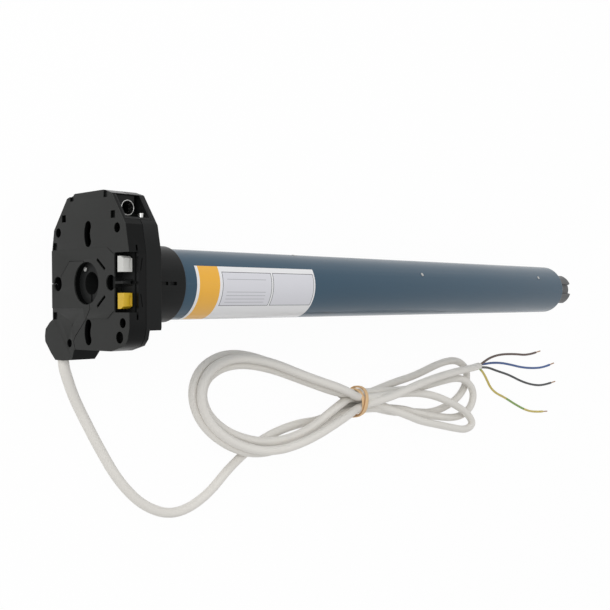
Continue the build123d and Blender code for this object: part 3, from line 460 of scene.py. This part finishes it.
def leadPoints():
    points = [Vector(point) for point in leadFacts["route"]]
    for loop in range(leadFacts["loops"]):
        points.append(waistPoint(2 * loop))
        points += lobePoints(1, loop)
        points.append(waistPoint(2 * loop + 1))
        points += lobePoints(-1, loop)
    points.append(waistPoint(2 * leadFacts["loops"]))
    return points + [Vector(point) for point in leadFacts["tail"]]


cordFacts = {"order": 3, "steps": 12, "roundSteps": 5}


def makeCordCurve(name, points, diameter, material):
    data = bpy.data.curves.new(name, "CURVE")
    data.dimensions = "3D"
    spline = data.splines.new("NURBS")
    spline.points.add(len(points) - 1)
    for target, point in zip(spline.points, points):
        target.co = (*(Vector(point) * mm), 1)
    spline.order_u = cordFacts["order"]
    spline.use_endpoint_u = True
    spline.resolution_u = cordFacts["steps"]
    data.bevel_depth = diameter * mm / 2
    data.bevel_resolution = cordFacts["roundSteps"]
    data.use_fill_caps = True
    data.materials.append(materials[material])
    piece = bpy.data.objects.new(name, data)
    bpy.context.collection.objects.link(piece)
    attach(piece, "motor")
    return piece


def lineLength(piece):
    bare = piece.data.copy()
    bare.bevel_depth = 0
    probe = bpy.data.objects.new("probe", bare)
    mesh = bpy.data.meshes.new_from_object(probe)
    total = 0.0
    for edge in mesh.edges:
        first, second = (mesh.vertices[number].co for number in edge.vertices)
        total += (first - second).length
    bpy.data.objects.remove(probe)
    bpy.data.meshes.remove(mesh)
    bpy.data.curves.remove(bare)
    return total


lead = makeCordCurve("mains_lead", leadPoints(), leadFacts["diameter"], "cord_sheath")
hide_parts("cord_lead", "cord_hank")
leadLength = lineLength(lead)
print("mains lead", round(leadLength, 3), "m")

# The rubber band: flat strands round the waist of the hank, each tilted its own way so that they cross.
bandFacts = {
    "place": (318.0, -105.4, -38.3), "halfWidth": 11.8, "halfHeight": 11.1, "sides": 72, "thick": 0.9,
    "squareness": 2.2, "ripple": 0.5, "ripples": 3, "edge": 0.4, "edgeSteps": 2,
    "strands": [
        {"width": 4.4, "swing": 1.9, "phase": -90, "offset": -1.3, "layer": 0.0},
        {"width": 4.0, "swing": -1.9, "phase": -90, "offset": 2.3, "layer": 0.9},
        {"width": 3.2, "swing": -3.2, "phase": -90, "offset": 0.4, "layer": 1.8},
    ],
}


def bandStrand(shape, facts):
    sides = bandFacts["sides"]
    power = bandFacts["squareness"]
    made = bmesh.ops.create_cone(shape, cap_ends=False, segments=sides, radius1=1, radius2=1, depth=1)
    for vert in made["verts"]:
        angle = atan2(vert.co.y, vert.co.x)
        square = (abs(cos(angle)) ** power + abs(sin(angle)) ** power) ** (-1 / power)
        across = square * cos(angle) * (bandFacts["halfWidth"] + facts["layer"])
        lift = facts["layer"] if sin(angle) > 0 else 0.0
        up = square * sin(angle) * (bandFacts["halfHeight"] + lift)
        ripple = bandFacts["ripple"] * sin(bandFacts["ripples"] * angle)
        swing = facts["swing"] * sin(angle + radians(facts["phase"])) + ripple
        along = vert.co.z * facts["width"] + facts["offset"] + swing
        vert.co = Vector((along, across, up))


def makeBand():
    shape = bmesh.new()
    for facts in bandFacts["strands"]:
        bandStrand(shape, facts)
    bmesh.ops.translate(shape, vec=bandFacts["place"], verts=shape.verts)
    bmesh.ops.scale(shape, vec=(mm, mm, mm), verts=shape.verts)
    bmesh.ops.recalc_face_normals(shape, faces=shape.faces)
    mesh = bpy.data.meshes.new("rubber_band")
    shape.to_mesh(mesh)
    shape.free()
    band = bpy.data.objects.new("rubber_band", mesh)
    bpy.context.collection.objects.link(band)
    mesh.materials.append(materials["band_rubber"])
    mesh.shade_smooth()
    wall = band.modifiers.new("wall", "SOLIDIFY")
    wall.thickness = bandFacts["thick"] * mm
    wall.offset = 1
    edge = band.modifiers.new("rounded", "BEVEL")
    edge.width = bandFacts["edge"] * mm
    edge.segments = bandFacts["edgeSteps"]
    edge.limit_method = "ANGLE"
    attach(band, "motor")
    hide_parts("hank_band")
    return band


band = makeBand()

# The four cores, in millimetres: they leave the lead's end and lie down on the table.
coreFacts = {
    "diameter": 2.6,
    "core_brown": [
        (542.1, -82.9, -44.9), (553.0, -80.0, -46.5), (568.6, -76.5, -48.8), (590.0, -73.9, -49.2),
        (622.0, -74.8, -49.2), (652.0, -77.7, -49.2), (671.5, -75.2, -49.2)],
    "core_blue": [
        (541.2, -82.9, -47.6), (554.0, -83.4, -48.6), (571.0, -82.6, -49.2), (592.7, -83.8, -49.2),
        (614.8, -87.2, -49.2), (637.6, -91.4, -49.2), (664.0, -93.9, -49.2), (690.0, -94.3, -49.2),
        (705.5, -91.9, -49.2)],
    "core_black": [
        (542.1, -86.1, -44.9), (552.0, -86.6, -47.0), (566.0, -88.0, -49.0), (583.0, -92.5, -49.2),
        (609.2, -98.5, -49.2), (637.5, -108.0, -49.2), (663.9, -114.0, -49.2), (688.2, -116.3, -49.2),
        (708.5, -114.4, -49.2)],
    "core_earth": [
        (541.2, -86.1, -47.6), (548.0, -89.0, -48.4), (555.5, -94.0, -49.2), (562.0, -101.5, -49.2),
        (568.4, -109.8, -49.2), (579.5, -117.3, -49.2), (600.6, -124.5, -49.2), (623.0, -134.0, -49.2),
        (646.0, -142.5, -49.2), (666.8, -147.0, -49.2), (688.0, -148.2, -49.2)],
}
coreFinishes = {
    "core_brown": "brown_sheath", "core_blue": "blue_sheath", "core_black": "black_sheath",
    "core_earth": "earth_sheath",
}
for name, slotName in coreFinishes.items():
    label = name.replace("core_", "lead_core_")
    piece = makeCordCurve(label, coreFacts[name], coreFacts["diameter"], slotName)
    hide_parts(name)
    length = lineLength(piece)
    print(name, round(length, 3), "m")
print("cords laid")


# The floor and the world look white to the camera and in reflections.
# To the motor itself the world is dimmer, and the floor only throws back the light that falls on it.
stageFacts = {
    "floorSize": 8.0, "floorMiddle": 0.3, "floorDrop": 0.0001, "floorColour": (0.93, 0.93, 0.93, 1),
    "floorRough": 0.8, "glow": 0.965, "ambient": 0.55,
}


def whiteForRays(tree):
    rays = tree.nodes.new("ShaderNodeLightPath")
    share = mathNode(tree, "MAXIMUM", rays.outputs["Is Camera Ray"], rays.outputs["Is Glossy Ray"])
    return mathNode(tree, "MAXIMUM", share, rays.outputs["Is Transmission Ray"])


def makeFloor():
    shape = bmesh.new()
    bmesh.ops.create_grid(shape, x_segments=1, y_segments=1, size=stageFacts["floorSize"] / 2)
    place = (stageFacts["floorMiddle"], 0, floorZ - stageFacts["floorDrop"])
    bmesh.ops.translate(shape, vec=place, verts=shape.verts)
    mesh = bpy.data.meshes.new("tableTop")
    shape.to_mesh(mesh)
    shape.free()
    floor = bpy.data.objects.new("tableTop", mesh)
    bpy.context.collection.objects.link(floor)
    material = bpy.data.materials.new("paleTable")
    material.use_nodes = True
    tree = material.node_tree
    shader = tree.nodes["Principled BSDF"]
    shader.inputs["Base Color"].default_value = stageFacts["floorColour"]
    shader.inputs["Roughness"].default_value = stageFacts["floorRough"]
    glow = tree.nodes.new("ShaderNodeEmission")
    glow.inputs["Color"].default_value = (1, 1, 1, 1)
    mix = tree.nodes.new("ShaderNodeMixShader")
    share = mathNode(tree, "MULTIPLY", whiteForRays(tree), stageFacts["glow"])
    tree.links.new(share, mix.inputs[0])
    tree.links.new(shader.outputs[0], mix.inputs[1])
    tree.links.new(glow.outputs[0], mix.inputs[2])
    tree.links.new(mix.outputs[0], tree.nodes["Material Output"].inputs["Surface"])
    mesh.materials.append(material)


def makeWorld():
    world = bpy.data.worlds.new("studio")
    bpy.context.scene.world = world
    world.use_nodes = True
    tree = world.node_tree
    sky = tree.nodes["Background"]
    sky.inputs["Color"].default_value = (1, 1, 1, 1)
    strength = mathNode(tree, "MULTIPLY_ADD", whiteForRays(tree), 1 - stageFacts["ambient"])
    strength.node.inputs[2].default_value = stageFacts["ambient"]
    tree.links.new(strength, sky.inputs["Strength"])


lamps = {
    "overheadSoft": {"place": (0.25, 0.05, 1.5), "aim": (0.3, 0, 0), "size": 1.6, "watts": 3.5},
    "headSide": {"place": (-0.9, 0.3, 0.7), "aim": (0.05, 0, 0), "size": 0.7, "watts": 5.0},
    "farSide": {"place": (0.5, 1.2, 0.8), "aim": (0.3, 0, 0), "size": 0.8, "watts": 3.5},
}


def makeLamp(name, facts):
    data = bpy.data.lights.new(name, "AREA")
    data.size = facts["size"]
    data.energy = facts["watts"]
    lamp = bpy.data.objects.new(name, data)
    bpy.context.collection.objects.link(lamp)
    away = Vector(facts["place"]) - Vector(facts["aim"])
    turn = away.to_track_quat("Z", "Y").to_matrix().to_4x4()
    lamp.matrix_world = Matrix.Translation(facts["place"]) @ turn


makeFloor()
makeWorld()
for name, facts in lamps.items():
    makeLamp(name, facts)
bpy.context.scene.view_settings.view_transform = "Standard"
print("stage lit")
